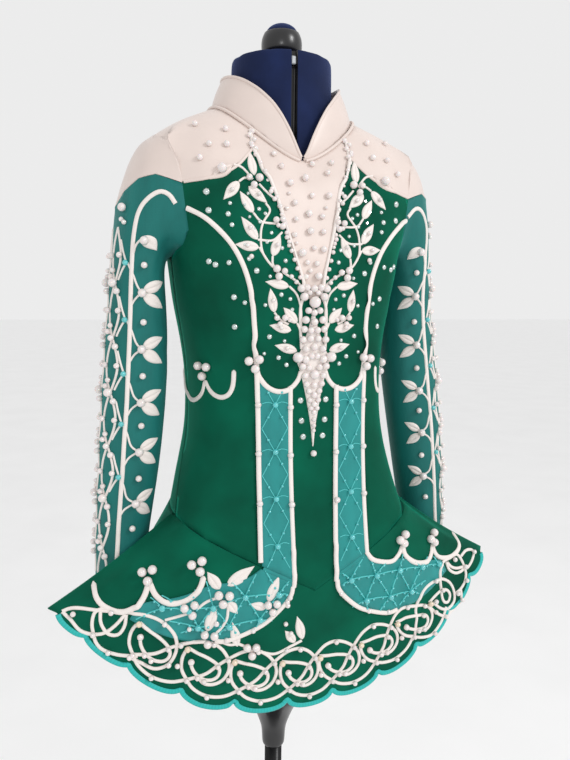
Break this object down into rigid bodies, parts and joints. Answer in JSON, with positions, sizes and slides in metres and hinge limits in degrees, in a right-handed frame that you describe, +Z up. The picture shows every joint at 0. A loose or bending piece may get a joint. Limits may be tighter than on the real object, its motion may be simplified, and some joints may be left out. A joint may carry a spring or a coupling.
{
  "type": "irish dance dress on a limbless dress form with a stand",
  "caption": "Child's solo dance dress with long sleeves, a stand collar and a short flared scalloped skirt, displayed on a limbless dress form with a round base.",
  "frame": {"origin": "centre of the stand's base, on the floor", "axes": "+Z up, the front of the dress faces -Y, and the wearer's left is +X"},
  "size_m": [0.4994, 0.44, 1.44],
  "materials": {
    "velvet": "deep green stretch velvet with a soft nap",
    "satin": "warm cream satin with a soft gloss",
    "sleeve_cloth": "dark teal fine ribbed stretch cloth",
    "strip_cloth": "light teal satin",
    "embroidery": "raised ivory cord and satin stitch",
    "hem_edge": "turquoise satin stitch",
    "pearl": "soft lustre pearl",
    "zip_plastic": "dark green moulded coil",
    "zip_metal": "green enamel",
    "form_cover": "navy knit over foam",
    "form_plastic": "black, lightly glossy",
    "stand_metal": "black powder coat"
  },
  "bodies": {
    "root": {"bodice_front": "velvet", "bodice_side_L": "velvet", "bodice_side_R": "velvet", "bodice_back_L": "velvet", "bodice_back_R": "velvet", "skirt_front": "velvet", "skirt_back": "velvet", "front_insert": "satin", "yoke_L": "satin", "yoke_R": "satin", "sleeve_cap_L": "satin", "sleeve_cap_R": "satin", "collar_L": "satin", "collar_R": "satin", "sleeve_L": "sleeve_cloth", "sleeve_R": "sleeve_cloth", "strip_L": "strip_cloth", "strip_R": "strip_cloth", "skirt_strip_L": "strip_cloth", "skirt_strip_R": "strip_cloth", "zip_chain": "zip_plastic", "zip_slider": "zip_metal", "form_torso": "form_cover", "form_hub": "form_plastic", "form_pole": "stand_metal", "form_base": "stand_metal"},
    "knob": {"neck_knob": "form_plastic", "pin_cushion": "form_cover"},
    "pull": {"zip_pull": "zip_metal"}
  },
  "joints": [
    {"name": "neck_knob_turn", "type": "hinge", "parent": "root", "child": "knob", "pos_m": [0, 0, 1.416], "axis": [0, 0, 1], "continuous": true},
    {"name": "zip_pull_swing", "type": "hinge", "parent": "root", "child": "pull", "pos_m": [0, 0.064, 1.37725], "axis": [1, 0, 0], "range_deg": [0, 165]}
  ]
}
